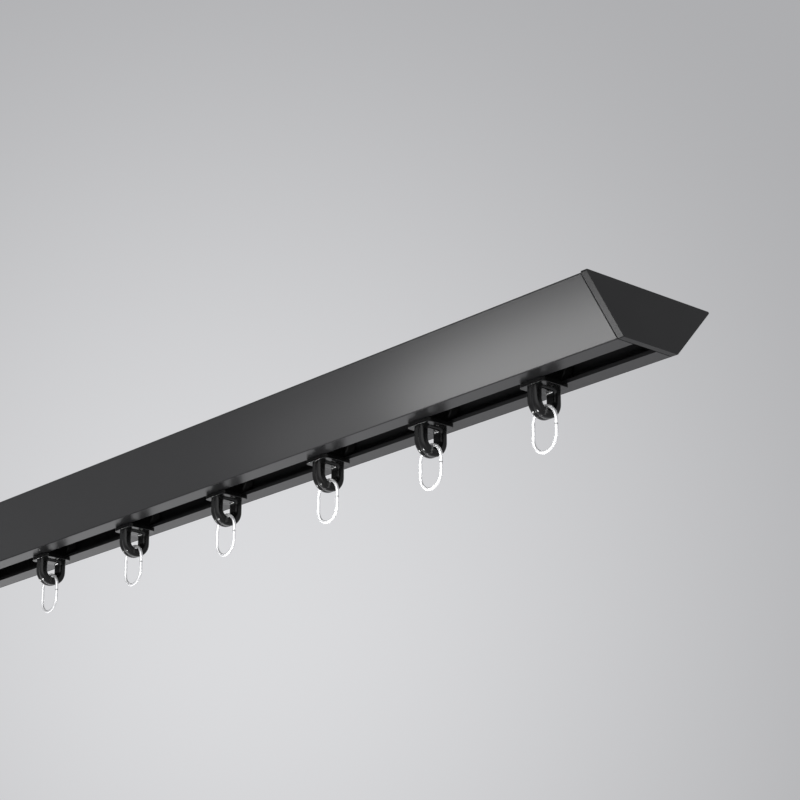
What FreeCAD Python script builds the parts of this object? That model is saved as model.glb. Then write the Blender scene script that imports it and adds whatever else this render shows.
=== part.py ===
import FreeCAD, Part

import math
import os
import re

import Sketcher
from FreeCAD import Placement, Rotation, Vector

# A ceiling curtain track: an extruded aluminium profile of inverted trapezoid section, closed by
# two end caps, with runners that roll inside it and carry one oval wire ring each.
# The frame lies on the ceiling face: +X along the track, +Z up, y = 0 in the middle of the slot.

# Driving sizes in millimetres: name, value, meaning.
SIZES = [
    ("track_length", 494.0, "length of the profile between the end caps"),
    ("track_height", 20.0, "ceiling face to underside"),
    ("track_top_width", 62.5, "width of the ceiling face, edge to edge"),
    ("side_wall", 1.4, "thickness of the sloped walls"),
    ("top_web", 1.6, "thickness of the wall that is screwed to the ceiling"),
    ("lip_thickness", 1.4, "thickness of the two running lips"),
    ("corner_width", 2.6, "running channel to the lower outer corner"),
    ("channel_wall", 1.2, "thickness of the walls beside the running channel"),
    ("slot_width", 11.6, "gap between the two lips"),
    ("rib_reach", 2.4, "how far the hold-down ribs stand into the channel"),
    ("rib_thickness", 1.2, "thickness of the hold-down ribs"),
    ("rib_gap", 0.4, "hold-down rib above the wheels"),
    ("channel_gap", 0.55, "end of an axle to the channel wall"),
    ("top_corner_radius", 1.0, "rounding of the profile's two upper edges"),
    ("cap_corner_radius", 0.5, "rounding of a cap's two upper edges, which stand out a little"),
    ("low_corner_radius", 0.4, "rounding of the two lower edges"),
    ("screw_hole", 4.5, "diameter of the ceiling screw holes"),
    ("screw_pitch", 400.0, "distance between ceiling screw holes"),
    ("screw_count", 2, "number of ceiling screw holes"),
    ("cap_thickness", 3.0, "thickness of an end cap's plate"),
    ("cap_bevel", 0.15, "bevel round the outer face of the cap plate"),
    ("cap_seam", 0.3, "bevel round its inner face, which shows as a seam to the profile"),
    ("tongue_length", 8.0, "how far a cap's tongues go into the profile"),
    ("tongue_height", 8.0, "height of the tongues"),
    ("tongue_gap", 0.15, "tongue to the walls of its chamber"),
    ("runner_count", 7, "number of runners"),
    ("first_runner", 51.6, "outer face of the right cap to the first runner"),
    ("near_pitch", 60.0, "spacing of the first runners"),
    ("near_gaps", 2, "number of gaps at the near spacing"),
    ("last_runner", 64.4, "outer face of the left cap to the last runner"),
    ("wheel_radius", 5.0, "running radius of a wheel"),
    ("wheel_width", 3.8, "width of a wheel"),
    ("wheel_gap", 0.15, "wheel above the running lip"),
    ("wheel_bevel", 0.3, "bevel of the wheel's tread"),
    ("wheel_recess", 0.8, "depth of the dish in a wheel's outer face"),
    ("wheel_hub", 2.2, "radius of the hub that stands in the dish"),
    ("wheel_rim", 0.9, "thickness of the rim round the dish"),
    ("hub_gap", 0.4, "play beside a wheel, on each side"),
    ("axle_radius", 1.0, "radius of the axle pin"),
    ("axle_fit", 0.05, "radial running gap of a wheel on its axle"),
    ("axle_head", 1.7, "radius of the riveted heads of the axle"),
    ("axle_head_width", 0.5, "thickness of the riveted heads"),
    ("neck_gap", 0.4, "runner's neck to each side of the slot"),
    ("neck_length", 7.0, "length of the runner's neck along the track"),
    ("plate_gap", 0.3, "runner's cover plate below the lips"),
    ("plate_length", 12.8, "cover plate along the track"),
    ("plate_thickness", 1.6, "thickness of the cover plate"),
    ("plate_corner", 2.0, "corner radius of the cover plate"),
    ("plate_edge", 0.2, "rounding of the cover plate's lower edge"),
    ("plate_overhang", 0.25, "cover plate beyond the eye on each side"),
    ("eye_width", 13.0, "outer width of the eye across the track"),
    ("eye_depth", 5.2, "depth of the eye along the track"),
    ("eye_arm", 3.4, "thickness of the eye's two arms"),
    ("eye_roof", 0.8, "material between the cover plate and the eye's opening"),
    ("eye_floor", 3.5, "thickness of the bar that the ring hangs on"),
    ("eye_height", 7.1, "height of the eye's opening"),
    ("eye_round", 1.2, "rounding of the eye's edges"),
    ("eye_corner", 1.0, "radius of the opening's upper corners"),
    ("ring_wire", 1.3, "diameter of the ring's wire"),
    ("ring_width", 12.7, "outer width of the ring"),
    ("ring_height", 18.2, "outer height of the ring"),
    ("ring_gap", 0.28, "ring to the rounded bar that it hangs on"),
    ("ring_seam", 0.12, "gap of the butt joint in the ring's wire"),
    ("ring_seam_rise", 0.6, "butt joint above the middle of the ring"),
]
ALIASES = {name for name, value, meaning in SIZES}

# Sizes that follow from the driving ones, across the track from its middle.
NECK_SIDE = "(slot_width / 2 - neck_gap)"
WHEEL_INSIDE = f"({NECK_SIDE} + hub_gap)"
WHEEL_OUTSIDE = f"({WHEEL_INSIDE} + wheel_width)"
AXLE_END = f"({WHEEL_OUTSIDE} + hub_gap / 2 + axle_head_width)"
CHANNEL_SIDE = f"({AXLE_END} + channel_gap)"
BOTTOM_SIDE = f"({CHANNEL_SIDE} + corner_width)"
TOP_SIDE = "(track_top_width / 2)"
SLOPE = f"(({TOP_SIDE} - {BOTTOM_SIDE}) / track_height)"
WALL_OFFSET = f"(side_wall * sqrt(1 + {SLOPE}^2))"
GAP_OFFSET = f"(tongue_gap * sqrt(1 + {SLOPE}^2))"

# Heights that follow from them, down from the ceiling face.
LIP_TOP = "(lip_thickness - track_height)"
AXLE_HEIGHT = f"({LIP_TOP} + wheel_gap + wheel_radius)"
RIB_HEIGHT = f"({AXLE_HEIGHT} + wheel_radius + rib_gap)"
PLATE_TOP = "(-track_height - plate_gap)"
PLATE_BOTTOM = f"({PLATE_TOP} - plate_thickness)"
OPENING_TOP = f"({PLATE_BOTTOM} - eye_roof)"
OPENING_FLOOR = f"({OPENING_TOP} - eye_height)"
EYE_BOTTOM = f"({OPENING_FLOOR} - eye_floor)"
OPENING_SIDE = "(eye_width / 2 - eye_arm)"

# The ring's upper bend is an arc about this height, so that it clears the bar's rounded edges
# by ring_gap wherever the ring stands in its swing.
RING_BEND = "(ring_width / 2 - ring_wire / 2)"
BAR_REACH = "(ring_width / 2 - ring_wire - ring_gap - eye_round)"
RING_HEIGHT = f"({OPENING_FLOOR} - eye_round - sqrt({BAR_REACH}^2 - (eye_depth / 2 - eye_round)^2))"
RING_STRAIGHT = "(ring_height - ring_width)"
RING_SEAM = f"(ring_seam_rise - {RING_STRAIGHT} / 2)"

# Places along the track: the runners beyond the near ones share the length that is left.
FIRST_PLACE = "(track_length / 2 + cap_thickness - first_runner)"
LAST_PLACE = "(last_runner - track_length / 2 - cap_thickness)"
FAR_PITCH = f"(({FIRST_PLACE} - near_gaps * near_pitch - {LAST_PLACE}) / (runner_count - 1 - near_gaps))"

VERTICAL_AXIS_INDEX = -2
ORIGIN_POINT = (-1, 1)
START, END, CENTRE = range(1, 4)
FULL_TURN, HALF_TURN = 360, 180
FLAT = 1e-4

doc = FreeCAD.newDocument("curtain_track")
sheet = doc.addObject("Spreadsheet::Sheet", "sizes")
for row, (name, value, meaning) in enumerate(SIZES, start=1):
    sheet.set(f"A{row}", meaning)
    sheet.set(f"B{row}", str(value))
    sheet.setAlias(f"B{row}", name)
doc.recompute()


def linked(expression):
    """Put the sheet's name before each size in an expression."""
    def with_sheet(word):
        return f"{sheet.Name}.{word[0]}" if word[0] in ALIASES else word[0]

    return re.sub(r"[a-z_]+", with_sheet, expression)


def amount(expression):
    """The number that an expression of sizes gives now."""
    result = sheet.evalExpression(linked(expression))
    return getattr(result, "Value", result)


def new_body(name):
    body = doc.addObject("PartDesign::Body", name)
    body.Label = name
    return body


def origin_feature(body, role):
    return next(feature for feature in body.Origin.OriginFeatures if feature.Role == role)


def new_sketch(body, name, plane, offset="0"):
    """A sketch on one of the body's own planes, moved along the plane's normal by offset."""
    sketch = body.newObject("Sketcher::SketchObject", f"{body.Name}_{name}")
    sketch.AttachmentSupport = [(origin_feature(body, plane), "")]
    sketch.MapMode = "FlatFace"
    if offset != "0":
        sketch.setExpression("AttachmentOffset.Base.z", linked(offset))
    return sketch


def dimension(sketch, kind, places, expression):
    """Add one dimension and bind it to an expression of sizes."""
    index = sketch.addConstraint(Sketcher.Constraint(kind, *places, amount(expression)))
    sketch.setExpression(f"Constraints[{index}]", linked(expression))


def place_point(sketch, geometry, point, across, up):
    """Fix one point of the sketch by its two distances from the origin."""
    dimension(sketch, "DistanceX", (*ORIGIN_POINT, geometry, point), across)
    dimension(sketch, "DistanceY", (*ORIGIN_POINT, geometry, point), up)


def add_outline(sketch, points):
    """A closed outline of straight lines through points given as expressions."""
    corners = [Vector(amount(across), amount(up), 0) for across, up in points]
    lines = [
        sketch.addGeometry(Part.LineSegment(corner, following))
        for corner, following in zip(corners, corners[1:] + corners[:1])
    ]
    for line, following in zip(lines, lines[1:] + lines[:1]):
        sketch.addConstraint(Sketcher.Constraint("Coincident", line, END, following, START))
    for line, (across, up) in zip(lines, points):
        place_point(sketch, line, START, across, up)


def add_arch(sketch, half_width, bend, end):
    """A closed arch: a half circle about the height bend and straight sides to the height end."""
    side, turn, stop = amount(half_width), amount(bend), amount(end)
    below = stop > turn
    first, last = (-side, side) if below else (side, -side)
    start_angle = math.pi if below else 0.0
    circle = Part.Circle(Vector(0, turn, 0), Vector(0, 0, 1), side)
    into = sketch.addGeometry(Part.LineSegment(Vector(first, stop, 0), Vector(first, turn, 0)))
    arc = sketch.addGeometry(Part.ArcOfCircle(circle, start_angle, start_angle + math.pi))
    out = sketch.addGeometry(Part.LineSegment(Vector(last, turn, 0), Vector(last, stop, 0)))
    base = sketch.addGeometry(Part.LineSegment(Vector(last, stop, 0), Vector(first, stop, 0)))
    sketch.addConstraint([
        Sketcher.Constraint("Tangent", into, END, arc, START),
        Sketcher.Constraint("Tangent", arc, END, out, START),
        Sketcher.Constraint("Coincident", out, END, base, START),
        Sketcher.Constraint("Coincident", base, END, into, START),
        Sketcher.Constraint("Vertical", into),
        Sketcher.Constraint("Vertical", out),
        Sketcher.Constraint("Horizontal", base),
        Sketcher.Constraint("PointOnObject", arc, CENTRE, VERTICAL_AXIS_INDEX),
    ])
    dimension(sketch, "Radius", (arc,), half_width)
    dimension(sketch, "DistanceY", (*ORIGIN_POINT, arc, CENTRE), bend)
    dimension(sketch, "DistanceY", (*ORIGIN_POINT, base, START), end)


def add_circle(sketch, across, up, radius):
    centre = Vector(amount(across), amount(up), 0)
    circle = sketch.addGeometry(Part.Circle(centre, Vector(0, 0, 1), amount(radius)))
    place_point(sketch, circle, CENTRE, across, up)
    dimension(sketch, "Radius", (circle,), radius)


def facing(side):
    """A placement that turns a piece made for the positive side to face the given side."""
    return Placement(Vector(), Rotation(Vector(0, 0, 1), 0 if side > 0 else HALF_TURN))


def extrude(body, kind, sketch, length, symmetric=False, reverse=False):
    """A Pad or Pocket of a sketch, with its length bound to an expression."""
    before = body.Tip.Shape.Volume if body.Tip else 0.0
    feature = body.newObject(f"PartDesign::{kind}", f"{sketch.Name}_{kind.lower()}")
    feature.Profile = sketch
    feature.SideType = "Symmetric" if symmetric else "One side"
    feature.Reversed = reverse
    feature.Length = amount(length)
    feature.setExpression("Length", linked(length))
    sketch.Visibility = False
    doc.recompute()
    added = feature.Shape.Volume - before
    if (kind == "Pad" and added <= 0) or (kind == "Pocket" and added >= 0):
        raise RuntimeError(f"{feature.Name} changed the volume by {added:.3f} mm3")
    return feature


def revolve(body, sketch):
    """A full turn of a sketch about its own vertical axis."""
    feature = body.newObject("PartDesign::Revolution", f"{sketch.Name}_turn")
    feature.Profile = sketch
    feature.ReferenceAxis = (sketch, ["V_Axis"])
    feature.Angle = FULL_TURN
    doc.recompute()
    return feature


def soften(body, kind, name, size, chosen):
    """A Fillet or Chamfer on those edges of the body's tip that a test chooses."""
    base = body.Tip
    edges = [f"Edge{number}" for number, edge in enumerate(base.Shape.Edges, start=1) if chosen(edge)]
    if not edges:
        raise RuntimeError(f"{body.Name}: no edges for {name}")
    feature = body.newObject(f"PartDesign::{kind}", f"{body.Name}_{name}")
    feature.Base = (base, edges)
    dimension_name = "Radius" if kind == "Fillet" else "Size"
    setattr(feature, dimension_name, amount(size))
    feature.setExpression(dimension_name, linked(size))
    doc.recompute()
    return feature


def lies_at(edge, axis, *heights):
    """Whether the whole edge lies at one of the given heights along an axis."""
    box = edge.BoundBox
    low, high = getattr(box, f"{axis}Min"), getattr(box, f"{axis}Max")
    return any(abs(low - height) < FLAT and abs(high - height) < FLAT for height in heights)


def reaches(edge, axis, distance):
    """Whether the edge reaches a distance from the middle along an axis, on either side."""
    box = edge.BoundBox
    return max(getattr(box, f"{axis}Max"), -getattr(box, f"{axis}Min")) > distance - FLAT


def runs_along(edge, axis):
    """Whether the edge is a straight line along an axis."""
    if not isinstance(edge.Curve, Part.Line):
        return False
    return abs(abs(getattr(edge.Curve.Direction, axis.lower())) - 1) < FLAT


def slope_side(height, inset):
    """Distance from the middle to a sloped wall at a height, less an inset across the track."""
    return f"({BOTTOM_SIDE} + {SLOPE} * ({height} + track_height) - {inset})"


def mirrored(points):
    """Outline points on the +Y side, followed by their mirror images in reverse order."""
    return points + [(f"-{across}", up) for across, up in reversed(points)]


def section_outline(sketch):
    """The outer trapezoid that the profile and both caps share."""
    add_outline(sketch, mirrored([(TOP_SIDE, "0"), (BOTTOM_SIDE, "-track_height")]))


def round_corners(body, top_radius):
    """Round the four long edges of the trapezoid."""
    underside = -amount("track_height")
    soften(body, "Fillet", "top_corners", top_radius,
           lambda edge: runs_along(edge, "X") and lies_at(edge, "Z", 0))
    soften(body, "Fillet", "low_corners", "low_corner_radius",
           lambda edge: runs_along(edge, "X") and lies_at(edge, "Z", underside))


def make_profile(name):
    """The extruded profile: hollow side chambers, running channel, slot, ribs and screw holes."""
    body = new_body(name)
    outer = new_sketch(body, "section", "YZ_Plane")
    section_outline(outer)
    extrude(body, "Pad", outer, "track_length", symmetric=True)
    round_corners(body, "top_corner_radius")

    hollow = new_sketch(body, "hollow", "YZ_Plane")
    add_outline(hollow, mirrored([
        (slope_side("-top_web", WALL_OFFSET), "-top_web"),
        (slope_side(LIP_TOP, WALL_OFFSET), LIP_TOP),
    ]))
    extrude(body, "Pocket", hollow, "track_length", symmetric=True)

    walls = new_sketch(body, "walls", "YZ_Plane")
    for side in ("", "-"):
        near, far = f"{side}{CHANNEL_SIDE}", f"{side}({CHANNEL_SIDE} + channel_wall)"
        low, high = f"({LIP_TOP} - lip_thickness / 2)", "(-top_web / 2)"
        add_outline(walls, [(near, low), (far, low), (far, high), (near, high)])
    extrude(body, "Pad", walls, "track_length", symmetric=True)

    ribs = new_sketch(body, "ribs", "YZ_Plane")
    for side in ("", "-"):
        tip, root = f"{side}({CHANNEL_SIDE} - rib_reach)", f"{side}({CHANNEL_SIDE} + channel_wall / 2)"
        low, high = RIB_HEIGHT, f"({RIB_HEIGHT} + rib_thickness)"
        add_outline(ribs, [(tip, low), (root, low), (root, high), (tip, high)])
    extrude(body, "Pad", ribs, "track_length", symmetric=True)

    slot = new_sketch(body, "slot", "YZ_Plane")
    half, low, high = "(slot_width / 2)", "(-track_height - lip_thickness)", f"({LIP_TOP} + lip_thickness)"
    add_outline(slot, [(half, low), (half, high), (f"-{half}", high), (f"-{half}", low)])
    extrude(body, "Pocket", slot, "track_length", symmetric=True)

    uncut = body.Tip.Shape.Volume
    drill = new_sketch(body, "screw_hole", "XY_Plane")
    add_circle(drill, "-screw_pitch * (screw_count - 1) / 2", "0", "screw_hole / 2")
    hole = extrude(body, "Pocket", drill, "top_web")
    row = body.newObject("PartDesign::LinearPattern", f"{name}_screw_row")
    row.Originals = [hole]
    row.Direction = (drill, ["H_Axis"])
    row.Mode = "Spacing"
    row.Offset = amount("screw_pitch")
    row.setExpression("Offset", linked("screw_pitch"))
    row.Occurrences = int(amount("screw_count"))
    row.setExpression("Occurrences", linked("screw_count"))
    body.Tip = row
    doc.recompute()
    drilled = (uncut - row.Shape.Volume) / (uncut - hole.Shape.Volume)
    if abs(drilled - amount("screw_count")) > FLAT:
        raise RuntimeError(f"{name} has {drilled:.3f} screw holes")
    return body


def make_cap(name, side):
    """An end cap: a plate with the profile's outline and two tongues for the side chambers."""
    body = new_body(name)
    plate = new_sketch(body, "plate", "YZ_Plane")
    section_outline(plate)
    extrude(body, "Pad", plate, "cap_thickness")
    round_corners(body, "cap_corner_radius")
    soften(body, "Chamfer", "outer_bevel", "cap_bevel",
           lambda edge: lies_at(edge, "X", amount("cap_thickness")))
    soften(body, "Chamfer", "inner_bevel", "cap_seam", lambda edge: lies_at(edge, "X", 0))

    tongues = new_sketch(body, "tongues", "YZ_Plane")
    high, low = "(-top_web - tongue_gap)", "(-top_web - tongue_gap - tongue_height)"
    near = f"({CHANNEL_SIDE} + channel_wall + tongue_gap)"
    inset = f"({WALL_OFFSET} + {GAP_OFFSET})"
    for sign in ("", "-"):
        add_outline(tongues, [
            (f"{sign}{near}", low),
            (f"{sign}{slope_side(low, inset)}", low),
            (f"{sign}{slope_side(high, inset)}", high),
            (f"{sign}{near}", high),
        ])
    extrude(body, "Pad", tongues, "tongue_length", reverse=True)
    body.Placement = facing(side)
    body.setExpression("Placement.Base.x", linked(f"{side} * track_length / 2"))
    return body


def make_runner(name, place):
    """A moulded runner: neck and axle boss, cover plate below the lips, and the eye for the ring."""
    body = new_body(name)
    eye = new_sketch(body, "eye", "YZ_Plane")
    add_arch(eye, "(eye_width / 2)", f"({EYE_BOTTOM} + eye_width / 2)", PLATE_TOP)
    add_arch(eye, OPENING_SIDE, f"({OPENING_FLOOR} + {OPENING_SIDE})", OPENING_TOP)
    extrude(body, "Pad", eye, "eye_depth", symmetric=True)
    face, top = amount("eye_depth / 2"), amount(PLATE_TOP)
    soften(body, "Fillet", "opening_corners", "eye_corner",
           lambda edge: runs_along(edge, "X") and lies_at(edge, "Z", amount(OPENING_TOP)))
    soften(body, "Fillet", "eye_edges", "eye_round",
           lambda edge: lies_at(edge, "X", -face, face) and not lies_at(edge, "Z", top))

    plate = new_sketch(body, "plate", "XY_Plane", PLATE_TOP)
    half, side = "(plate_length / 2)", "(eye_width / 2 + plate_overhang)"
    add_outline(plate, mirrored([(half, side), (half, f"-{side}")]))
    extrude(body, "Pad", plate, "plate_thickness", reverse=True)
    end, flank, bottom = amount(half), amount(side), amount(PLATE_BOTTOM)

    def on_rim(edge):
        return lies_at(edge, "Z", bottom) and (reaches(edge, "X", end) or reaches(edge, "Y", flank))

    soften(body, "Fillet", "plate_corners", "plate_corner",
           lambda edge: runs_along(edge, "Z") and lies_at(edge, "Y", -flank, flank))
    soften(body, "Fillet", "plate_rim", "plate_edge", on_rim)

    neck = new_sketch(body, "neck", "XZ_Plane")
    add_arch(neck, "(neck_length / 2)", AXLE_HEIGHT, f"({PLATE_TOP} - plate_thickness / 2)")
    extrude(body, "Pad", neck, f"2 * {NECK_SIDE}", symmetric=True)
    bore = new_sketch(body, "bore", "XZ_Plane")
    add_circle(bore, "0", AXLE_HEIGHT, "axle_radius")
    extrude(body, "Pocket", bore, f"2 * {NECK_SIDE}", symmetric=True)
    body.setExpression("Placement.Base.x", linked(place))
    return body


def make_axle(name, place):
    """A steel pin with a riveted head at each end, turned about the axle line."""
    body = new_body(name)
    profile = new_sketch(body, "profile", "XY_Plane")
    neck = f"({AXLE_END} - axle_head_width)"
    add_outline(profile, [
        ("0", f"-{AXLE_END}"), ("axle_head", f"-{AXLE_END}"), ("axle_head", f"-{neck}"),
        ("axle_radius", f"-{neck}"), ("axle_radius", neck), ("axle_head", neck),
        ("axle_head", AXLE_END), ("0", AXLE_END),
    ])
    revolve(body, profile)
    place_on_axle(body, place)
    return body


def make_wheel(name, place, side):
    """A small wheel with bevelled tread and a dished outer face, bored for the axle."""
    body = new_body(name)
    profile = new_sketch(body, "profile", "XY_Plane")
    bore, tread = "(axle_radius + axle_fit)", "(wheel_radius - wheel_bevel)"
    dish = f"({WHEEL_OUTSIDE} - wheel_recess)"
    rim = "(wheel_radius - wheel_rim)"
    add_outline(profile, [
        (bore, WHEEL_INSIDE), (tread, WHEEL_INSIDE), ("wheel_radius", f"({WHEEL_INSIDE} + wheel_bevel)"),
        ("wheel_radius", WHEEL_OUTSIDE), (rim, WHEEL_OUTSIDE), (rim, dish),
        ("wheel_hub", dish), ("wheel_hub", WHEEL_OUTSIDE), (bore, WHEEL_OUTSIDE),
    ])
    revolve(body, profile)
    body.Placement = facing(side)
    place_on_axle(body, place)
    return body


def place_on_axle(body, place):
    body.setExpression("Placement.Base.x", linked(place))
    body.setExpression("Placement.Base.z", linked(AXLE_HEIGHT))


def make_ring(name, place):
    """An oval ring bent from wire, with its butt joint on the +X leg; its frame is at the bend."""
    body = new_body(name)
    path = new_sketch(body, "path", "XZ_Plane")
    side, drop, seam = amount(RING_BEND), -amount(RING_STRAIGHT), amount(RING_SEAM)
    circles = [Part.Circle(Vector(0, height, 0), Vector(0, 0, 1), side) for height in (0, drop)]
    upper_leg = path.addGeometry(Part.LineSegment(Vector(side, seam, 0), Vector(side, 0, 0)))
    upper_bend = path.addGeometry(Part.ArcOfCircle(circles[0], 0, math.pi))
    back_leg = path.addGeometry(Part.LineSegment(Vector(-side, 0, 0), Vector(-side, drop, 0)))
    lower_bend = path.addGeometry(Part.ArcOfCircle(circles[1], math.pi, 2 * math.pi))
    lower_leg = path.addGeometry(Part.LineSegment(Vector(side, drop, 0), Vector(side, seam, 0)))
    path.addConstraint([
        Sketcher.Constraint("Tangent", upper_leg, END, upper_bend, START),
        Sketcher.Constraint("Tangent", upper_bend, END, back_leg, START),
        Sketcher.Constraint("Tangent", back_leg, END, lower_bend, START),
        Sketcher.Constraint("Tangent", lower_bend, END, lower_leg, START),
        Sketcher.Constraint("Coincident", upper_bend, CENTRE, *ORIGIN_POINT),
        Sketcher.Constraint("PointOnObject", lower_bend, CENTRE, VERTICAL_AXIS_INDEX),
        Sketcher.Constraint("Vertical", upper_leg),
        Sketcher.Constraint("Vertical", back_leg),
        Sketcher.Constraint("Vertical", lower_leg),
    ])
    dimension(path, "Radius", (upper_bend,), RING_BEND)
    dimension(path, "DistanceY", (*ORIGIN_POINT, lower_bend, CENTRE), f"-{RING_STRAIGHT}")
    dimension(path, "DistanceY", (*ORIGIN_POINT, upper_leg, START), f"({RING_SEAM} + ring_seam / 2)")
    dimension(path, "DistanceY", (*ORIGIN_POINT, lower_leg, END), f"({RING_SEAM} - ring_seam / 2)")

    wire = new_sketch(body, "wire", "XY_Plane", f"({RING_SEAM} + ring_seam / 2)")
    add_circle(wire, RING_BEND, "0", "ring_wire / 2")
    doc.recompute()
    sweep = body.newObject("PartDesign::AdditivePipe", f"{name}_sweep")
    sweep.Profile = wire
    sweep.Spine = (path, [])
    doc.recompute()
    body.setExpression("Placement.Base.x", linked(place))
    body.setExpression("Placement.Base.z", linked(RING_HEIGHT))
    return body


def runner_place(index):
    """Expression for a runner's place along the track; the first is nearest to the right cap."""
    near = min(index, int(amount("near_gaps")))
    return f"{FIRST_PLACE} - {near} * near_pitch - {index - near} * {FAR_PITCH}"


def build():
    """Make every sub-part in order and return them."""
    parts = [make_profile("track_profile"), make_cap("end_cap_right", 1), make_cap("end_cap_left", -1)]
    for index in range(int(amount("runner_count"))):
        place, number = runner_place(index), index + 1
        parts += [
            make_runner(f"runner_body_{number}", place),
            make_axle(f"axle_{number}", place),
            make_wheel(f"front_wheel_{number}", place, -1),
            make_wheel(f"back_wheel_{number}", place, 1),
            make_ring(f"ring_{number}", place),
        ]
    doc.recompute()
    return parts


parts = build()
failed = [item.Name for item in doc.Objects if {"Invalid", "Error"} & set(item.State)]
if failed:
    raise RuntimeError(f"failed objects: {failed}")
for part in parts:
    if part.Shape.isNull() or not part.Shape.isValid() or len(part.Shape.Solids) != 1:
        raise RuntimeError(f"{part.Label} isn't one valid solid")

os.makedirs("parts", exist_ok=True)
for part in parts:
    part.Shape.exportStep(f"parts/{part.Label}.step")
    print(f"{part.Label}: {part.Shape.Volume:.1f} mm3, {len(part.Shape.Faces)} faces")
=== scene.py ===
"""Looks of a black ceiling curtain track with rolling runners and bright wire rings.

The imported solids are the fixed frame. This script gives each of them its finish and sets up
the studio and the camera. Lengths are metres in the frame's own axes: +X along the track
towards the end cap that faces the camera, +Z up into the ceiling.
"""

import logging
import math
from dataclasses import dataclass, field, replace
from enum import Enum
from typing import Any

import bpy
import numpy as np
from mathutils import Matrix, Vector

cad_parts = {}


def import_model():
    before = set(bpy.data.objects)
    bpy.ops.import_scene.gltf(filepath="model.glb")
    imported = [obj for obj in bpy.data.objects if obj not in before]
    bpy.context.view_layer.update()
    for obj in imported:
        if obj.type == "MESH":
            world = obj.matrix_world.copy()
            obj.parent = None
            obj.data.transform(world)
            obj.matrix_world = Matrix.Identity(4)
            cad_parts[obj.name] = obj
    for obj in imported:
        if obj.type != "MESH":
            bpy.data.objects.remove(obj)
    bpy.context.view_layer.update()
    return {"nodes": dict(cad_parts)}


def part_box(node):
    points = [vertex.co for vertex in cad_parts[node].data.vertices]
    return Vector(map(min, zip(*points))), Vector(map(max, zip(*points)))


LOG = logging.getLogger("curtain_track")

Colour = tuple[float, float, float]
Point = tuple[float, float, float]

MM = 0.001
BLACK: Colour = (0.0, 0.0, 0.0)
# Roughness on a matt line.
MATT = 0.8
# How many times wider a finish's clouds are than its grain.
CLOUD_WIDTH = 60.0


class Side(Enum):
    """The two sides of the slot, as the wheels' names give them."""

    FRONT = "front"
    BACK = "back"


class Grain(Enum):
    """How the fine relief of a finish lies on the surface."""

    EVEN = (1.0, 1.0, 1.0)
    ALONG_TRACK = (0.012, 1.0, 1.0)
    ROUND_AXLE = (1.0, 0.05, 1.0)


class SectionEdge(Enum):
    """The long edges of the track's section: distance from its middle, and height."""

    CAP_TOP = (30.6 * MM, -0.15 * MM)
    LOW = (13.3 * MM, -19.85 * MM)


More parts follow.
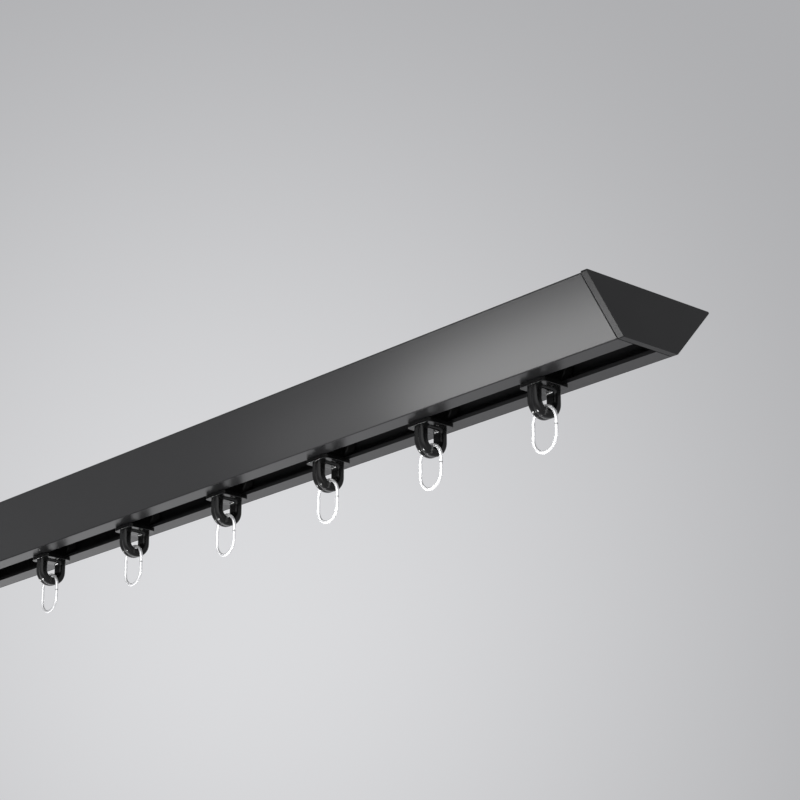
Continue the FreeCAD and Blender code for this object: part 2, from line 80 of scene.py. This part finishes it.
class NodeBoard:
    """A small helper that builds the node tree of a material or of the world."""

    def __init__(self, owner: bpy.types.Material | bpy.types.World) -> None:
        """Start an empty tree.

        Args:
            owner: the material or the world that shows it.
        """
        owner.use_nodes = True
        self.tree = owner.node_tree
        self.tree.nodes.clear()

    def add(self, kind: str, **values: Any) -> bpy.types.Node:
        """Add a node and set its plain properties.

        Args:
            kind: the node's type name.
            **values: properties to set on the node.

        Returns:
            The new node.
        """
        node = self.tree.nodes.new(kind)
        for name, value in values.items():
            setattr(node, name, value)
        return node

    def link(self, source: bpy.types.NodeSocket, target: bpy.types.NodeSocket) -> None:
        """Join an output socket to an input socket."""
        self.tree.links.new(source, target)

    def noise(self, scale: float, stretch: Point, detail: float = 2.0) -> bpy.types.NodeSocket:
        """Add noise on the object's own coordinates.

        Args:
            scale: features per metre, before the stretch.
            stretch: factor on the coordinates along each axis.
            detail: octaves of finer noise.

        Returns:
            The noise value's socket, from 0 to 1.
        """
        place = self.add("ShaderNodeTexCoord")
        mapping = self.add("ShaderNodeMapping")
        mapping.inputs["Scale"].default_value = stretch
        noise = self.add("ShaderNodeTexNoise")
        noise.inputs["Scale"].default_value = scale
        noise.inputs["Detail"].default_value = detail
        self.link(place.outputs["Object"], mapping.inputs["Vector"])
        self.link(mapping.outputs["Vector"], noise.inputs["Vector"])
        return noise.outputs["Fac"]

    def ranged(self, value: bpy.types.NodeSocket, low: float, high: float) -> bpy.types.NodeSocket:
        """Carry a value from 0..1 over to low..high.

        Args:
            value: the socket to carry over.
            low: the result at 0.
            high: the result at 1.

        Returns:
            The result's socket.
        """
        node = self.add("ShaderNodeMapRange")
        node.inputs["To Min"].default_value = low
        node.inputs["To Max"].default_value = high
        self.link(value, node.inputs["Value"])
        return node.outputs["Result"]

    def tinted(self, value: bpy.types.NodeSocket, dark: Colour, light: Colour) -> bpy.types.NodeSocket:
        """Blend between two colours by a value.

        Args:
            value: the socket that chooses the colour, from 0 to 1.
            dark: the colour at 0.
            light: the colour at 1.

        Returns:
            The colour's socket.
        """
        ramp = self.add("ShaderNodeValToRGB")
        ramp.color_ramp.elements[0].color = (*dark, 1.0)
        ramp.color_ramp.elements[1].color = (*light, 1.0)
        self.link(value, ramp.inputs["Fac"])
        return ramp.outputs["Color"]

    def maths(self, operation: str, *values: float | bpy.types.NodeSocket) -> bpy.types.NodeSocket:
        """Add one step of arithmetic.

        Args:
            operation: the node's operation, such as MAXIMUM.
            *values: its inputs, each a socket or a number.

        Returns:
            The result's socket.
        """
        node = self.add("ShaderNodeMath", operation=operation)
        for target, value in zip(node.inputs, values):
            if isinstance(value, bpy.types.NodeSocket):
                self.link(value, target)
            else:
                target.default_value = value
        return node.outputs["Value"]

    def smooth(
        self, value: bpy.types.NodeSocket, start: float, end: float, low: float = 0.0, high: float = 1.0,
    ) -> bpy.types.NodeSocket:
        """Go smoothly from one level to another while a value goes from start to end.

        Args:
            value: the socket that is followed.
            start: the value up to which the result is low.
            end: the value from which on it is high.
            low: the result's level up to start.
            high: the result's level beyond end.

        Returns:
            The result's socket.
        """
        node = self.add("ShaderNodeMapRange", interpolation_type="SMOOTHSTEP")
        for name, number in zip(("From Min", "From Max", "To Min", "To Max"), (start, end, low, high)):
            node.inputs[name].default_value = number
        self.link(value, node.inputs["Value"])
        return node.outputs["Result"]

    def bell(self, distance: bpy.types.NodeSocket, reach: float) -> bpy.types.NodeSocket:
        """Fall from 1 on a line to nothing beside it, as exp(-(distance / reach)^2).

        Args:
            distance: the socket of the distance from the line.
            reach: the distance that sets the line's width.

        Returns:
            The result's socket.
        """
        share = self.maths("DIVIDE", distance, reach)
        return self.maths("EXPONENT", self.maths("MULTIPLY", self.maths("MULTIPLY", share, share), -1.0))

    def place(self) -> tuple[bpy.types.NodeSocket, ...]:
        """Add the object's own coordinates.

        Returns:
            The sockets of X, Y and Z.
        """
        texture = self.add("ShaderNodeTexCoord")
        split = self.add("ShaderNodeSeparateXYZ")
        self.link(texture.outputs["Object"], split.inputs["Vector"])
        return tuple(split.outputs)

    def length(self, *offsets: bpy.types.NodeSocket) -> bpy.types.NodeSocket:
        """Work out the length of a pair of offsets: the root of the sum of their squares."""
        squares = [self.maths("MULTIPLY", offset, offset) for offset in offsets]
        return self.maths("SQRT", self.maths("ADD", *squares))

    def near_edge(self, edge: SectionEdge, reach: float) -> bpy.types.NodeSocket:
        """Find the points close to a long edge of the track, on either side of the slot.

        The distance is that of the point (|y|, z) from the edge's own place in the section.

        Args:
            edge: the long edge.
            reach: the distance at which the result has dropped to 0.

        Returns:
            The socket of a value that is 1 at the edge.
        """
        _, y, z = self.place()
        across, up = edge.value
        sideways = self.maths("SUBTRACT", self.maths("ABSOLUTE", y), across)
        distance = self.length(sideways, self.maths("SUBTRACT", z, up))
        return self.smooth(distance, reach / 2, reach, low=1.0, high=0.0)

    def relief(self, height: bpy.types.NodeSocket) -> bpy.types.NodeSocket:
        """Turn a height into a shading normal, at its true depth.

        Args:
            height: the socket of heights in metres.

        Returns:
            The normal's socket.
        """
        bump = self.add("ShaderNodeBump")
        bump.inputs["Distance"].default_value = 1.0
        self.link(height, bump.inputs["Height"])
        return bump.outputs["Normal"]


@dataclass(frozen=True)
class Finish:
    """A surface finish: colour, gloss and the fine relief that shows up close.

    Attributes:
        name: the material's name.
        dark: base colour where the finish is darkest.
        light: base colour where it is lightest.
        gloss: lowest and highest roughness.
        metallic: 1 for bare metal.
        specular: strength of the reflection that is not metallic.
        matt_edges: the section's long edges that are matt.
        matt_reach: reach of the matt line along them.
        grain: how the relief is stretched.
        grain_scale: relief features per metre.
        grain_depth: height of the relief in metres.
    """

    name: str
    dark: Colour
    light: Colour
    gloss: tuple[float, float]
    metallic: float = 0.0
    specular: float = 0.5
    matt_edges: tuple[SectionEdge, ...] = ()
    matt_reach: float = 0.45 * MM
    grain: Grain = Grain.EVEN
    grain_scale: float = 2500.0
    grain_depth: float = 2e-6

    def material(self) -> bpy.types.Material:
        """Build the finish as a material.

        Returns:
            The material, whose tint, roughness and relief all follow procedural noise.
        """
        material = bpy.data.materials.new(self.name)
        board = NodeBoard(material)
        shader = board.add("ShaderNodeBsdfPrincipled")
        output = board.add("ShaderNodeOutputMaterial")
        shader.inputs["Metallic"].default_value = self.metallic
        shader.inputs["Specular IOR Level"].default_value = self.specular
        board.link(shader.outputs["BSDF"], output.inputs["Surface"])
        cloud = board.noise(self.grain_scale / CLOUD_WIDTH, self.grain.value, detail=3.0)
        fine = board.noise(self.grain_scale, self.grain.value)
        roughness = board.ranged(cloud, *self.gloss)
        for line in self.matt_lines(board):
            roughness = board.maths("MAXIMUM", roughness, board.maths("MULTIPLY", line, MATT))
        colour = self.tint(board, board.tinted(cloud, self.dark, self.light))
        board.link(colour, shader.inputs["Base Color"])
        board.link(roughness, shader.inputs["Roughness"])
        height = self.form(board, board.maths("MULTIPLY", fine, self.grain_depth))
        board.link(board.relief(height), shader.inputs["Normal"])
        return material

    def matt_lines(self, board: NodeBoard) -> list[bpy.types.NodeSocket]:
        """Give the lines that are matt, as sockets that are 1 on them: here the long edges."""
        return [board.near_edge(edge, self.matt_reach) for edge in self.matt_edges]

    def tint(self, board: NodeBoard, colour: bpy.types.NodeSocket) -> bpy.types.NodeSocket:
        """Give the surface's colour: a plain finish keeps the one that its noise gives."""
        return colour

    def form(self, board: NodeBoard, grain: bpy.types.NodeSocket) -> bpy.types.NodeSocket:
        """Give the surface's height in metres: a plain finish has only its grain."""
        return grain


@dataclass(frozen=True)
class ProfileFinish(Finish):
    """The profile's coating, which is drawn flat over much of the rounded upper edges.

    Attributes:
        radius: the upper edges' rounding.
        centre: its centre in the section: distance from the middle, and height.
        facing: the side wall's own direction in the section.
        flat_turn: turn from the side wall up to which the rounding is drawn flat.
        lean: angle by which the rest of it is drawn nearer the side wall.
        top_cosine: cosine of the whole turn from the side wall to the upper face.
        foot: height at which the rounding meets the side wall.
        cut: distance from the track's middle beyond which the sawn end is matt.
    """

    radius: float = 1.0 * MM
    centre: tuple[float, float] = (29.02 * MM, -1.0 * MM)
    facing: tuple[float, float] = (0.747, -0.665)
    flat_turn: float = math.radians(47.0)
    lean: float = math.radians(25.0)
    top_cosine: float = -0.66
    foot: float = -1.66 * MM
    cut: float = 246.75 * MM

    def matt_lines(self, board: NodeBoard) -> list[bpy.types.NodeSocket]:
        """Add the sawn ends to the matt long edges."""
        sawn = board.maths("GREATER_THAN", board.maths("ABSOLUTE", board.place()[0]), self.cut)
        return [*super().matt_lines(board), sawn]

    def form(self, board: NodeBoard, grain: bpy.types.NodeSocket) -> bpy.types.NodeSocket:
        """Turn the rounding's shading back towards the side wall's.

        The height over the turn a from the side wall is -radius * ln(cos(a)), whose slope is tan(a).
        Beyond flat_turn it rises evenly, with the slope tan(lean).

        Args:
            board: the material's node board.
            grain: the height of the fine relief.

        Returns:
            The socket of the height in metres.
        """
        _, y, z = board.place()
        outwards = board.maths("SUBTRACT", board.maths("ABSOLUTE", y), self.centre[0])
        upwards = board.maths("SUBTRACT", z, self.centre[1])
        parts = [board.maths("MULTIPLY", *pair) for pair in zip((outwards, upwards), self.facing)]
        cosine = board.maths("DIVIDE", board.maths("ADD", *parts), self.radius)
        held = board.maths("MINIMUM", board.maths("MAXIMUM", cosine, self.top_cosine), 1.0)
        turn = board.maths("ARCCOSINE", held)
        flat = board.maths("MINIMUM", turn, self.flat_turn)
        fall = board.maths("LOGARITHM", board.maths("COSINE", flat), math.e)
        rise = board.maths("MULTIPLY", board.maths("SUBTRACT", turn, flat), math.tan(self.lean))
        height = board.maths("MULTIPLY", board.maths("SUBTRACT", rise, fall), self.radius)
        above = board.maths("GREATER_THAN", z, self.foot)
        return board.maths("MULTIPLY_ADD", height, above, grain)


@dataclass(frozen=True)
class CapFinish(Finish):
    """The finish of an end cap, whose bevel at the seam is matt.

    Attributes:
        seam: distance from the track's middle up to which the bevel reaches.
    """

    seam: float = 247.32 * MM

    def matt_lines(self, board: NodeBoard) -> list[bpy.types.NodeSocket]:
        """Add the seam's bevel to the matt long edges."""
        seam = board.maths("LESS_THAN", board.maths("ABSOLUTE", board.place()[0]), self.seam)
        return [*super().matt_lines(board), seam]


@dataclass(frozen=True)
class EyeFinish(Finish):
    """The finish of a runner, whose eye has a shallow groove round the middle of its outer band.

    Attributes:
        middle: place of the runner along the track.
        turn: height of the centre of the eye's round end.
        band: distance from that centre beyond which the surface is the outer band.
        roof: height below which the eye stands free of its cover plate.
        groove_reach: half the groove's width.
        groove_depth: its depth.
    """

    middle: float = 0.0
    turn: float = 0.0
    band: float = 4.8 * MM
    roof: float = 0.0
    groove_reach: float = 0.55 * MM
    groove_depth: float = 0.16 * MM

    def form(self, board: NodeBoard, grain: bpy.types.NodeSocket) -> bpy.types.NodeSocket:
        """Take the groove out of the grain's height.

        Args:
            board: the material's node board.
            grain: the height of the fine relief.

        Returns:
            The socket of the height in metres.
        """
        x, y, z = board.place()
        groove = board.bell(board.maths("SUBTRACT", x, self.middle), self.groove_reach)
        below = board.maths("MINIMUM", board.maths("SUBTRACT", z, self.turn), 0.0)
        outside = board.maths("GREATER_THAN", board.length(y, below), self.band)
        free = board.maths("LESS_THAN", z, self.roof)
        cut = board.maths("MULTIPLY", board.maths("MULTIPLY", groove, outside), free)
        return board.maths("MULTIPLY_ADD", cut, -self.groove_depth, grain)


@dataclass(frozen=True)
class RingFinish(Finish):
    """The finish of a ring, whose wire's two ends meet in a hairline joint.

    Attributes:
        middle: place of the ring along the track.
        joint: height of the joint, on the side towards the near end cap.
        joint_reach: half the joint's width.
        joint_shade: share of the colour that is lost in its middle.
    """

    middle: float = 0.0
    joint: float = -36.4 * MM
    joint_reach: float = 0.2 * MM
    joint_shade: float = 0.9

    def tint(self, board: NodeBoard, colour: bpy.types.NodeSocket) -> bpy.types.NodeSocket:
        """Darken the joint, on one side of the ring only.

        Args:
            board: the material's node board.
            colour: the socket of the finish's plain colour.

        Returns:
            The colour's socket.
        """
        x, _, z = board.place()
        line = board.bell(board.maths("SUBTRACT", z, self.joint), self.joint_reach)
        line = board.maths("MULTIPLY", line, board.maths("GREATER_THAN", x, self.middle))
        darker = board.add("ShaderNodeVectorMath", operation="SCALE")
        board.link(colour, darker.inputs["Vector"])
        board.link(board.maths("MULTIPLY_ADD", line, -self.joint_shade, 1.0), darker.inputs["Scale"])
        return darker.outputs["Vector"]


SATIN_COATING = ProfileFinish(
    "satin black coating", dark=(0.010, 0.010, 0.0105), light=(0.016, 0.016, 0.0165), gloss=(0.30, 0.36),
    matt_edges=(SectionEdge.LOW,), matt_reach=0.5 * MM,
    grain=Grain.ALONG_TRACK, grain_scale=3000.0, grain_depth=1.5e-6,
)
CAP_PLASTIC = CapFinish(
    "satin black cap plastic", dark=(0.009, 0.009, 0.0093), light=(0.013, 0.013, 0.0133), gloss=(0.34, 0.42),
    specular=0.33, matt_edges=(SectionEdge.CAP_TOP, SectionEdge.LOW), grain_scale=4000.0, grain_depth=3e-6,
)
RUNNER_PLASTIC = EyeFinish(
    "semi-gloss black runner plastic",
    dark=(0.003, 0.003, 0.0031), light=(0.005, 0.005, 0.0051), gloss=(0.15, 0.20),
    specular=0.34, grain_scale=3000.0, grain_depth=1.5e-6,
)
WHEEL_PLASTIC = Finish(
    "matt black wheel plastic", dark=(0.004, 0.004, 0.004), light=(0.007, 0.007, 0.007), gloss=(0.50, 0.60),
    specular=0.2, grain=Grain.ROUND_AXLE, grain_scale=3000.0, grain_depth=4e-6,
)
TURNED_STEEL = Finish(
    "turned steel", dark=(0.42, 0.42, 0.43), light=(0.58, 0.58, 0.59), gloss=(0.22, 0.34),
    metallic=1.0, grain_scale=3500.0, grain_depth=2e-6,
)
BRIGHT_PLATING = RingFinish(
    "bright plated wire", dark=(0.92, 0.92, 0.925), light=(0.98, 0.98, 0.985), gloss=(0.12, 0.18),
    metallic=0.6, grain_scale=1800.0, grain_depth=1e-6,
)


class FinishSet:
    """The materials that several solids share, each built once."""

    def __init__(self) -> None:
        """Build the materials."""
        self.coating = SATIN_COATING.material()
        self.cap = CAP_PLASTIC.material()
        self.wheel = WHEEL_PLASTIC.material()
        self.axle = TURNED_STEEL.material()


def dress(node: bpy.types.Object, material: bpy.types.Material) -> None:
    """Give a solid of the frame its material, on every face.

    Args:
        node: the solid's object.
        material: the finish to show.
    """
    node.data.materials.clear()
    node.data.materials.append(material)
    LOG.info("%s gets %s", node.name, material.name)


@dataclass
class Track:
    """The extruded profile and its two end caps.

    Attributes:
        profile: the profile's node.
        caps: the end caps' nodes.
    """

    profile: str = "track_profile"
    caps: tuple[str, ...] = ("end_cap_right", "end_cap_left")

    def build(self, nodes: dict[str, bpy.types.Object], finishes: FinishSet) -> None:
        """Dress the profile and the caps.

        Args:
            nodes: the frame's solids by name.
            finishes: the materials.
        """
        dress(nodes[self.profile], finishes.coating)
        for cap in self.caps:
            dress(nodes[cap], finishes.cap)


@dataclass
class Runner:
    """One runner with its axle, its two wheels and its ring.

    Attributes:
        number: place in the row, counted from the near end cap.
        eye_side: half the eye's outer width, which is also the radius of its round end.
        eye_roof: height just below the cover plate.
    """

    number: int
    eye_side: float = 6.5 * MM
    eye_roof: float = -22.2 * MM

    def eye(self) -> Point:
        """Find the centre of the eye's round end in the frame."""
        low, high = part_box(f"runner_body_{self.number}")
        return ((low[0] + high[0]) / 2, 0.0, low[2] + self.eye_side)

    def body_finish(self) -> EyeFinish:
        """Place the moulding's finish where this runner is in the frame.

        Returns:
            The finish, with its groove on this runner's eye.
        """
        middle, _, turn = self.eye()
        name = f"{RUNNER_PLASTIC.name} {self.number}"
        return replace(RUNNER_PLASTIC, name=name, middle=middle, turn=turn, roof=self.eye_roof)

    def ring_finish(self) -> RingFinish:
        """Place the ring's finish where this runner is in the frame."""
        name = f"{BRIGHT_PLATING.name} {self.number}"
        return replace(BRIGHT_PLATING, name=name, middle=self.eye()[0])

    def build(self, nodes: dict[str, bpy.types.Object], finishes: FinishSet) -> None:
        """Dress the runner's solids.

        Args:
            nodes: the frame's solids by name.
            finishes: the materials.
        """
        dress(nodes[f"runner_body_{self.number}"], self.body_finish().material())
        dress(nodes[f"axle_{self.number}"], finishes.axle)
        for side in Side:
            dress(nodes[f"{side.value}_wheel_{self.number}"], finishes.wheel)
        dress(nodes[f"ring_{self.number}"], self.ring_finish().material())


@dataclass
class SoftBox:
    """A rectangular lamp that lights chosen solids and doesn't show itself.

    Attributes:
        name: the lamp's name.
        place: its middle.
        aim: the point that it faces.
        size: its width and height.
        power: radiant power in watts.
        lit: the solids that it lights.
        spread: angle of its whole beam.
    """

    name: str
    place: Point
    aim: Point
    size: tuple[float, float]
    power: float
    lit: list[bpy.types.Object]
    spread: float = math.pi

    def build(self) -> None:
        """Make the lamp, turn it towards its aim and give it the solids that it lights."""
        light = bpy.data.lights.new(self.name, "AREA")
        light.shape = "RECTANGLE"
        light.size, light.size_y = self.size
        light.energy = self.power
        light.spread = self.spread
        lamp = bpy.data.objects.new(self.name, light)
        bpy.context.scene.collection.objects.link(lamp)
        lamp.location = self.place
        direction = Vector(self.aim) - Vector(self.place)
        lamp.rotation_euler = direction.to_track_quat("-Z", "Y").to_euler()
        lamp.visible_camera = False
        group = bpy.data.collections.new(self.name)
        for solid in self.lit:
            group.objects.link(solid)
        lamp.light_linking.receiver_collection = group
        LOG.info("lamp %s", self.name)


@dataclass(frozen=True)
class Glint:
    """A small lamp that shows as a glint low on the front of a runner's eye.

    Attributes:
        slant: angle of the eye's surface below the horizontal at the glint, in degrees.
        reach: distance of the lamp from the eye across the track.
        side: width and height of the lamp.
        power: radiant power in watts.
        spread: angle of its whole beam, narrow enough to leave the cover plate dark.
    """

    slant: float = 46.0
    reach: float = 0.28
    side: float = 0.018
    power: float = 0.00028
    spread: float = math.radians(4.0)

    def lamp(self, body: bpy.types.Object, eye: Point, camera: Point) -> SoftBox:
        """Place the lamp where the camera sees it mirrored.

        Across the track the lamp lies at the angle 2 n - v - 180 degrees, for the angle n of the surface
        and v of the view. Along the track it lies further on by reach times the view's own slope.

        Args:
            body: the runner's moulding, the only solid that the lamp lights.
            eye: the centre of the eye's round end.
            camera: where the camera is.

        Returns:
            The lamp.
        """
        along, across, up = (there - here for there, here in zip(eye, camera))
        angle = 2.0 * math.radians(180.0 + self.slant) - math.atan2(up, across) - math.pi
        place = (
            eye[0] + self.reach * along / math.hypot(across, up),
            eye[1] + self.reach * math.cos(angle),
            eye[2] + self.reach * math.sin(angle),
        )
        size = (self.side, self.side)
        return SoftBox(f"glint on {body.name}", place, eye, size, self.power, [body], self.spread)


@dataclass(frozen=True)
class Glow:
    """A sky that fades evenly round its lightest direction.

    Attributes:
        azimuth: turn of the lightest direction from +Y towards -X, in degrees.
        pitch: its angle above the horizon, in degrees.
        near: angle from it up to which the sky stays light, in degrees.
        far: angle from it at which the sky is darkest, in degrees.
        light: the sky's colour there.
        dark: the sky's colour far from it.
    """

    azimuth: float
    pitch: float
    near: float
    far: float
    light: Colour
    dark: Colour

    def direction(self) -> Point:
        """Work out the unit vector of the lightest direction."""
        turn, rise = math.radians(self.azimuth), math.radians(self.pitch)
        return (-math.sin(turn) * math.cos(rise), math.cos(turn) * math.cos(rise), math.sin(rise))

    def background(self, board: NodeBoard, place: bpy.types.NodeSocket) -> bpy.types.NodeSocket:
        """Blend the two colours by the angle between the sky's direction and the lightest one.

        Args:
            board: the world's node board.
            place: the socket of the sky's direction.

        Returns:
            The shader's socket.
        """
        cosine = board.add("ShaderNodeVectorMath", operation="DOT_PRODUCT")
        cosine.inputs[1].default_value = self.direction()
        board.link(place, cosine.inputs[0])
        angle = board.maths("ARCCOSINE", cosine.outputs["Value"])
        fade = board.smooth(angle, math.radians(self.near), math.radians(self.far))
        blend = board.add("ShaderNodeMix", data_type="RGBA")
        board.link(fade, blend.inputs["Factor"])
        for end, colour in zip("AB", (self.light, self.dark)):
            sockets = [socket for socket in blend.inputs if socket.name == end and socket.type == "RGBA"]
            sockets[0].default_value = (*colour, 1.0)
        result = next(socket for socket in blend.outputs if socket.type == "RGBA")
        sky = board.add("ShaderNodeBackground")
        board.link(result, sky.inputs["Color"])
        return sky.outputs["Background"]


BACKDROP = Glow(
    azimuth=53.0, pitch=13.2, near=0.0, far=21.0, light=(0.705, 0.708, 0.724), dark=(0.418, 0.420, 0.432),
)
ROOM_LIGHT = Glow(azimuth=-139.0, pitch=19.0, near=20.0, far=85.0, light=(1.08, 1.08, 1.085), dark=BLACK)
FAR_LIGHT = Glow(azimuth=76.0, pitch=-20.0, near=5.0, far=36.0, light=(0.90, 0.90, 0.905), dark=BLACK)


@dataclass
class Studio:
    """The floor, the soft light, the pale surroundings and the camera.

    Attributes:
        floor_height: the floor's height, counted up from the ceiling face.
        floor_radius: radius of the floor.
        floor_colour: the floor's colour.
        floor_roughness: how matt the floor is.
        floor_fade: shares of its radius between which the floor fades away.
        camera_place: where the photograph was taken from, by the fit of the track's edges.
        camera_azimuth: turn of the view from +Y towards -X, in degrees.
        camera_pitch: angle of the view above the horizon, in degrees.
        focal_length: of the lens, in millimetres on a 36 mm wide sensor.
        clip: the nearest and the farthest distance that the camera sees.
        backdrop: the pale surroundings, which the camera and the object both see.
        soft_lights: what lights the object all round, added together.
        lamps: the lamps.
    """

    floor_height: float = -0.50
    floor_radius: float = 1.5
    floor_colour: Colour = (0.80, 0.80, 0.81)
    floor_roughness: float = 0.9
    floor_fade: tuple[float, float] = (0.5, 0.98)
    camera_place: Point = (0.7284, -0.5328, -0.2823)
    camera_azimuth: float = 48.74
    camera_pitch: float = 18.86
    focal_length: float = 100.83
    clip: tuple[float, float] = (0.01, 20.0)
    backdrop: Glow = BACKDROP
    soft_lights: tuple[Glow, ...] = (ROOM_LIGHT, FAR_LIGHT)
    lamps: list[SoftBox] = field(default_factory=list)

    def build(self) -> None:
        """Make everything around the object."""
        self.make_camera()
        self.make_floor()
        self.make_surroundings()
        for lamp in self.lamps:
            lamp.build()

    def make_camera(self) -> None:
        """Place the camera where the photograph was taken from."""
        lens = bpy.data.cameras.new("camera")
        lens.lens = self.focal_length
        lens.clip_start, lens.clip_end = self.clip
        camera = bpy.data.objects.new("camera", lens)
        bpy.context.scene.collection.objects.link(camera)
        camera.location = self.camera_place
        camera.rotation_euler = (
            math.radians(90.0 + self.camera_pitch), 0.0, math.radians(self.camera_azimuth),
        )
        bpy.context.scene.camera = camera
        LOG.info("camera")

    def make_floor(self) -> None:
        """Make the floor: a disc whose rings of points are computed as radius times direction."""
        turns, rings = 96, 12
        angle = np.linspace(0.0, 2.0 * np.pi, turns, endpoint=False)
        radius = np.linspace(0.0, self.floor_radius, rings + 1)[1:]
        x = np.outer(radius, np.cos(angle)).ravel()
        y = np.outer(radius, np.sin(angle)).ravel()
        points = np.column_stack([x, y, np.full_like(x, self.floor_height)])
        points = np.vstack([points, [0.0, 0.0, self.floor_height]])
        ring, turn = np.meshgrid(np.arange(rings - 1), np.arange(turns), indexing="ij")
        after = (turn + 1) % turns
        low, high = ring * turns, (ring + 1) * turns
        quads = np.stack([low + turn, high + turn, high + after, low + after], axis=-1).reshape(-1, 4)
        middle = len(points) - 1
        first, second = np.arange(turns), (np.arange(turns) + 1) % turns
        fan = np.stack([np.full(turns, middle), first, second], axis=-1)
        mesh = bpy.data.meshes.new("floor")
        mesh.from_pydata(points.tolist(), [], quads.tolist() + fan.tolist())
        floor = bpy.data.objects.new("floor", mesh)
        bpy.context.scene.collection.objects.link(floor)
        mesh.materials.append(self.floor_material())
        LOG.info("floor")

    def floor_material(self) -> bpy.types.Material:
        """Build a plain pale floor that fades at its rim, and that a view from below passes through.

        Returns:
            The floor's material.
        """
        material = bpy.data.materials.new("pale floor")
        board = NodeBoard(material)
        shader = board.add("ShaderNodeBsdfPrincipled")
        clear = board.add("ShaderNodeBsdfTransparent")
        mix = board.add("ShaderNodeMixShader")
        output = board.add("ShaderNodeOutputMaterial")
        shader.inputs["Base Color"].default_value = (*self.floor_colour, 1.0)
        shader.inputs["Roughness"].default_value = self.floor_roughness
        place = board.add("ShaderNodeTexCoord")
        distance = board.add("ShaderNodeVectorMath", operation="LENGTH")
        board.link(place.outputs["Object"], distance.inputs[0])
        start, end = (share * self.floor_radius for share in self.floor_fade)
        fade = board.smooth(distance.outputs["Value"], start, end)
        underside = board.add("ShaderNodeNewGeometry").outputs["Backfacing"]
        board.link(board.maths("MAXIMUM", fade, underside), mix.inputs["Fac"])
        board.link(shader.outputs["BSDF"], mix.inputs[1])
        board.link(clear.outputs["BSDF"], mix.inputs[2])
        board.link(mix.outputs["Shader"], output.inputs["Surface"])
        return material

    def make_surroundings(self) -> None:
        """Make the world: the pale backdrop for all rays, and the soft light for all but the camera's.

        The bright wire so shows the same pale background as the camera does.
        """
        world = bpy.data.worlds.new("surroundings")
        bpy.context.scene.world = world
        board = NodeBoard(world)
        place = board.add("ShaderNodeTexCoord").outputs["Generated"]
        camera_ray = board.add("ShaderNodeLightPath").outputs["Is Camera Ray"]
        output = board.add("ShaderNodeOutputWorld")
        whole = self.backdrop.background(board, place)
        for glow in self.soft_lights:
            hidden = board.add("ShaderNodeMixShader")
            board.link(camera_ray, hidden.inputs["Fac"])
            board.link(glow.background(board, place), hidden.inputs[1])
            both = board.add("ShaderNodeAddShader")
            board.link(whole, both.inputs[0])
            board.link(hidden.outputs["Shader"], both.inputs[1])
            whole = both.outputs["Shader"]
        board.link(whole, output.inputs["Surface"])
        LOG.info("surroundings")


def long_lamps(nodes: dict[str, bpy.types.Object]) -> list[SoftBox]:
    """Give the long lamps: two along the front lip, and one below the rings for their lower bends.

    Args:
        nodes: the frame's solids by name.

    Returns:
        The lamps.
    """
    others = [solid for name, solid in nodes.items() if not name.startswith("runner_body")]
    rings = [solid for name, solid in nodes.items() if name.startswith("ring_")]
    strips = [
        SoftBox(
            name, place=(along, -0.0695, -0.097), aim=(along, -0.0149, -0.0184),
            size=(length, 0.025), power=power, lit=others,
        )
        for name, along, length, power in (("near strip", 0.15, 0.20, 0.13), ("far strip", 0.01, 0.12, 0.012))
    ]
    below = SoftBox(
        "ring strip", place=(-0.33, -0.02, -0.30), aim=(-0.33, 0.01, -0.04),
        size=(0.66, 0.16), power=0.45, lit=rings,
    )
    return [*strips, below]


def main() -> None:
    """Build the looks round the frame, in order."""
    logging.basicConfig(level=logging.INFO, format="%(message)s")
    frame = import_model()
    bpy.context.scene.view_settings.view_transform = "Standard"
    nodes = frame["nodes"]
    finishes = FinishSet()
    Track().build(nodes, finishes)
    count = sum(name.startswith("ring_") for name in nodes)
    runners = [Runner(number) for number in range(1, 1 + count)]
    for runner in runners:
        runner.build(nodes, finishes)
    studio = Studio(lamps=long_lamps(nodes))
    for runner in runners:
        body = nodes[f"runner_body_{runner.number}"]
        studio.lamps.append(Glint().lamp(body, runner.eye(), studio.camera_place))
    studio.build()


if __name__ == "__main__":
    main()
